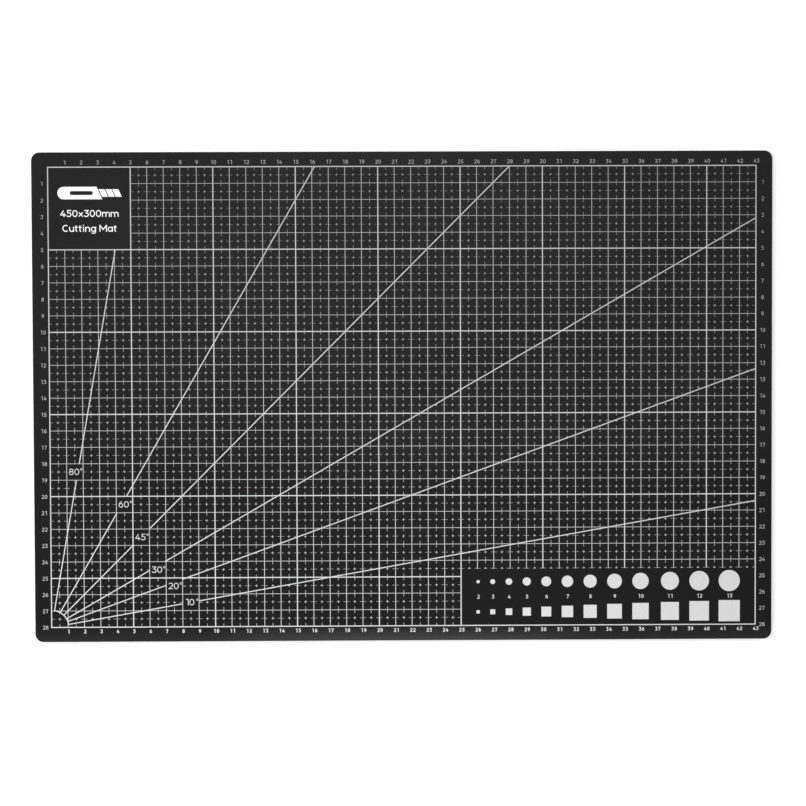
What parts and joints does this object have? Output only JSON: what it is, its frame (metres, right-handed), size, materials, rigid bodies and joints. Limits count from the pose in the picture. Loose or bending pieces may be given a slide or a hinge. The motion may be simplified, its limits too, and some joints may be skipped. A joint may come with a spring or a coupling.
{
  "type": "self healing cutting mat",
  "caption": "Thin black rectangular cutting mat with small rounded corners and a white printed centimetre grid, angle rays and hole and square size templates.",
  "frame": {"origin": "middle of the underside, on the surface that the mat lies on", "axes": "+X along the long side, the way the column numbers rise; +Y along the short side, towards the edge where the row numbers start; +Z out of the printed face"},
  "size_m": [0.45, 0.298, 0.003],
  "materials": {
    "black_vinyl": "fine matt grain",
    "backing_vinyl": "cut edge, matt",
    "core_vinyl": "cut edge, satin",
    "white_ink": "matt screen print"
  },
  "bodies": {
    "root": {"bottom_healing_ply": "black_vinyl", "lower_backing_ply": "backing_vinyl", "hard_core_ply": "core_vinyl", "upper_backing_ply": "backing_vinyl", "top_healing_ply": "black_vinyl", "grid_print": "white_ink", "disc_print_2mm": "white_ink", "disc_print_3mm": "white_ink", "disc_print_4mm": "white_ink", "disc_print_5mm": "white_ink", "disc_print_6mm": "white_ink", "disc_print_7mm": "white_ink", "disc_print_8mm": "white_ink", "disc_print_9mm": "white_ink", "disc_print_10mm": "white_ink", "disc_print_11mm": "white_ink", "disc_print_12mm": "white_ink", "disc_print_13mm": "white_ink", "square_print_2mm": "white_ink", "square_print_3mm": "white_ink", "square_print_4mm": "white_ink", "square_print_5mm": "white_ink", "square_print_6mm": "white_ink", "square_print_7mm": "white_ink", "square_print_8mm": "white_ink", "square_print_9mm": "white_ink", "square_print_10mm": "white_ink", "square_print_11mm": "white_ink", "square_print_12mm": "white_ink", "square_print_13mm": "white_ink", "emblem_handle_print": "white_ink", "emblem_blade_print_1": "white_ink", "emblem_blade_print_2": "white_ink", "emblem_blade_print_3": "white_ink"}
  },
  "joints": []
}
